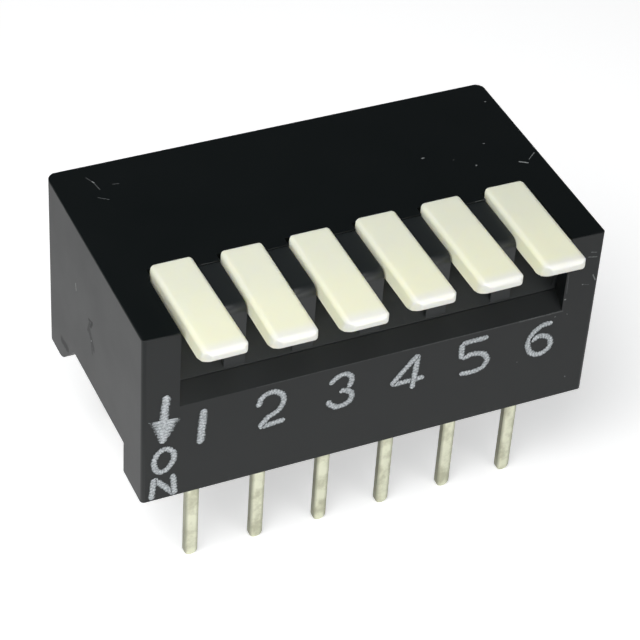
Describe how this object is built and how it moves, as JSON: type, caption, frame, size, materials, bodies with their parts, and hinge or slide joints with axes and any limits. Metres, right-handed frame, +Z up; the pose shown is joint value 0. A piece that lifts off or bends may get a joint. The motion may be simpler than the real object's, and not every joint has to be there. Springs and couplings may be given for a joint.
{
  "type": "dip switch",
  "caption": "Side-actuated through-hole dip switch with a row of rocking levers in a black housing, on two rows of flat pins.",
  "frame": {"origin": "middle of the pin pattern, in the plane of the board that the housing sits on", "axes": "+X along the row of levers from position 1 to 6, the levers point to -Y, +Z up from the board"},
  "size_m": [0.0174, 0.0115, 0.0119],
  "materials": {
    "housing": "moulded, slightly glossy",
    "base": "moulded",
    "seal": "cast epoxy",
    "lever": "moulded, satin",
    "wiper": "plated",
    "terminal": "tin plated"
  },
  "bodies": {
    "switch_body": {"housing": "housing", "base": "base", "seal": "seal", "front_terminal_1": "terminal", "front_terminal_2": "terminal", "front_terminal_3": "terminal", "front_terminal_4": "terminal", "front_terminal_5": "terminal", "front_terminal_6": "terminal", "rear_terminal_1": "terminal", "rear_terminal_2": "terminal", "rear_terminal_3": "terminal", "rear_terminal_4": "terminal", "rear_terminal_5": "terminal", "rear_terminal_6": "terminal"},
    "lever_1_body": {"lever_1": "lever", "wiper_1": "wiper"},
    "lever_2_body": {"lever_2": "lever", "wiper_2": "wiper"},
    "lever_3_body": {"lever_3": "lever", "wiper_3": "wiper"},
    "lever_4_body": {"lever_4": "lever", "wiper_4": "wiper"},
    "lever_5_body": {"lever_5": "lever", "wiper_5": "wiper"},
    "lever_6_body": {"lever_6": "lever", "wiper_6": "wiper"}
  },
  "joints": [
    {"name": "lever_1_rock", "type": "hinge", "parent": "switch_body", "child": "lever_1_body", "pos_m": [-0.00635, -0.00099, 0.005], "axis": [1, 0, 0], "range_deg": [-0.9, 23.1]},
    {"name": "lever_2_rock", "type": "hinge", "parent": "switch_body", "child": "lever_2_body", "pos_m": [-0.00381, -0.00099, 0.005], "axis": [1, 0, 0], "range_deg": [-2.3, 21.7]},
    {"name": "lever_3_rock", "type": "hinge", "parent": "switch_body", "child": "lever_3_body", "pos_m": [-0.00127, -0.00099, 0.005], "axis": [1, 0, 0], "range_deg": [-2.6, 21.4]},
    {"name": "lever_4_rock", "type": "hinge", "parent": "switch_body", "child": "lever_4_body", "pos_m": [0.00127, -0.00099, 0.005], "axis": [1, 0, 0], "range_deg": [-1, 23]},
    {"name": "lever_5_rock", "type": "hinge", "parent": "switch_body", "child": "lever_5_body", "pos_m": [0.00381, -0.00099, 0.005], "axis": [1, 0, 0], "range_deg": [-0.7, 23.3]},
    {"name": "lever_6_rock", "type": "hinge", "parent": "switch_body", "child": "lever_6_body", "pos_m": [0.00635, -0.00099, 0.005], "axis": [1, 0, 0], "range_deg": [-0.1, 23.9]}
  ]
}
